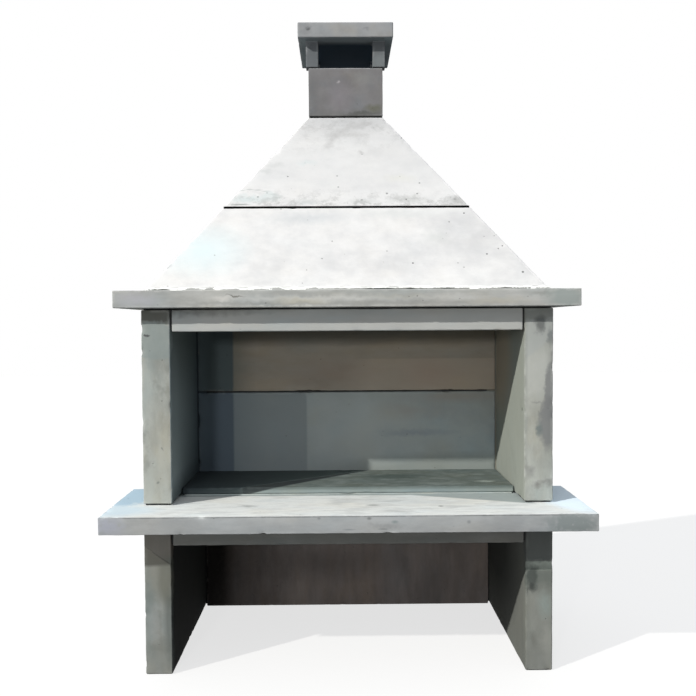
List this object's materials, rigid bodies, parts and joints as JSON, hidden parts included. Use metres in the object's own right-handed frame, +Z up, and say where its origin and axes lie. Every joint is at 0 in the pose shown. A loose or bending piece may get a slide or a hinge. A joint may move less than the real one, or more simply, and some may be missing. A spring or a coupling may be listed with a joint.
{
  "type": "outdoor masonry barbecue",
  "caption": "Free-standing precast concrete barbecue: wood store between legs, wide worktop, open firebox with raised hearth, mantel, pyramid hood, square flue and posted rain cap.",
  "frame": {"origin": "on the floor, in the middle of the whole footprint", "axes": "+Z up, the open front faces -Y, +X to the right of someone facing the fire"},
  "size_m": [1.614, 0.858, 2.286],
  "materials": {
    "grey_concrete": "matte",
    "pale_concrete": "matte",
    "white_concrete": "matte",
    "dark_concrete": "matte",
    "hearth_refractory": "matte",
    "brown_refractory": "matte",
    "grey_mortar": "matte",
    "white_mortar": "matte"
  },
  "bodies": {
    "root": {"leg_left": "grey_concrete", "leg_right": "grey_concrete", "lower_back_panel": "grey_concrete", "lower_lintel": "grey_concrete", "mortar_worktop_bed": "grey_mortar", "worktop_slab": "pale_concrete", "rear_base_slab": "pale_concrete", "mortar_slab_joint": "grey_mortar", "mortar_hearth_bed": "grey_mortar", "hearth_slab": "hearth_refractory", "mortar_wall_bed": "grey_mortar", "wall_left": "grey_concrete", "wall_right": "grey_concrete", "back_panel_lower": "hearth_refractory", "back_panel_upper": "brown_refractory", "mortar_back_joints": "grey_mortar", "upper_lintel": "grey_concrete", "mortar_mantel_bed": "grey_mortar", "mantel_slab": "grey_concrete", "mortar_hood_base": "white_mortar", "hood_lower": "white_concrete", "mortar_hood_joint": "grey_mortar", "hood_upper": "white_concrete", "mortar_chimney_bed": "grey_mortar", "chimney_block": "dark_concrete", "mortar_cap_bed": "grey_mortar", "chimney_cap": "dark_concrete"}
  },
  "joints": []
}
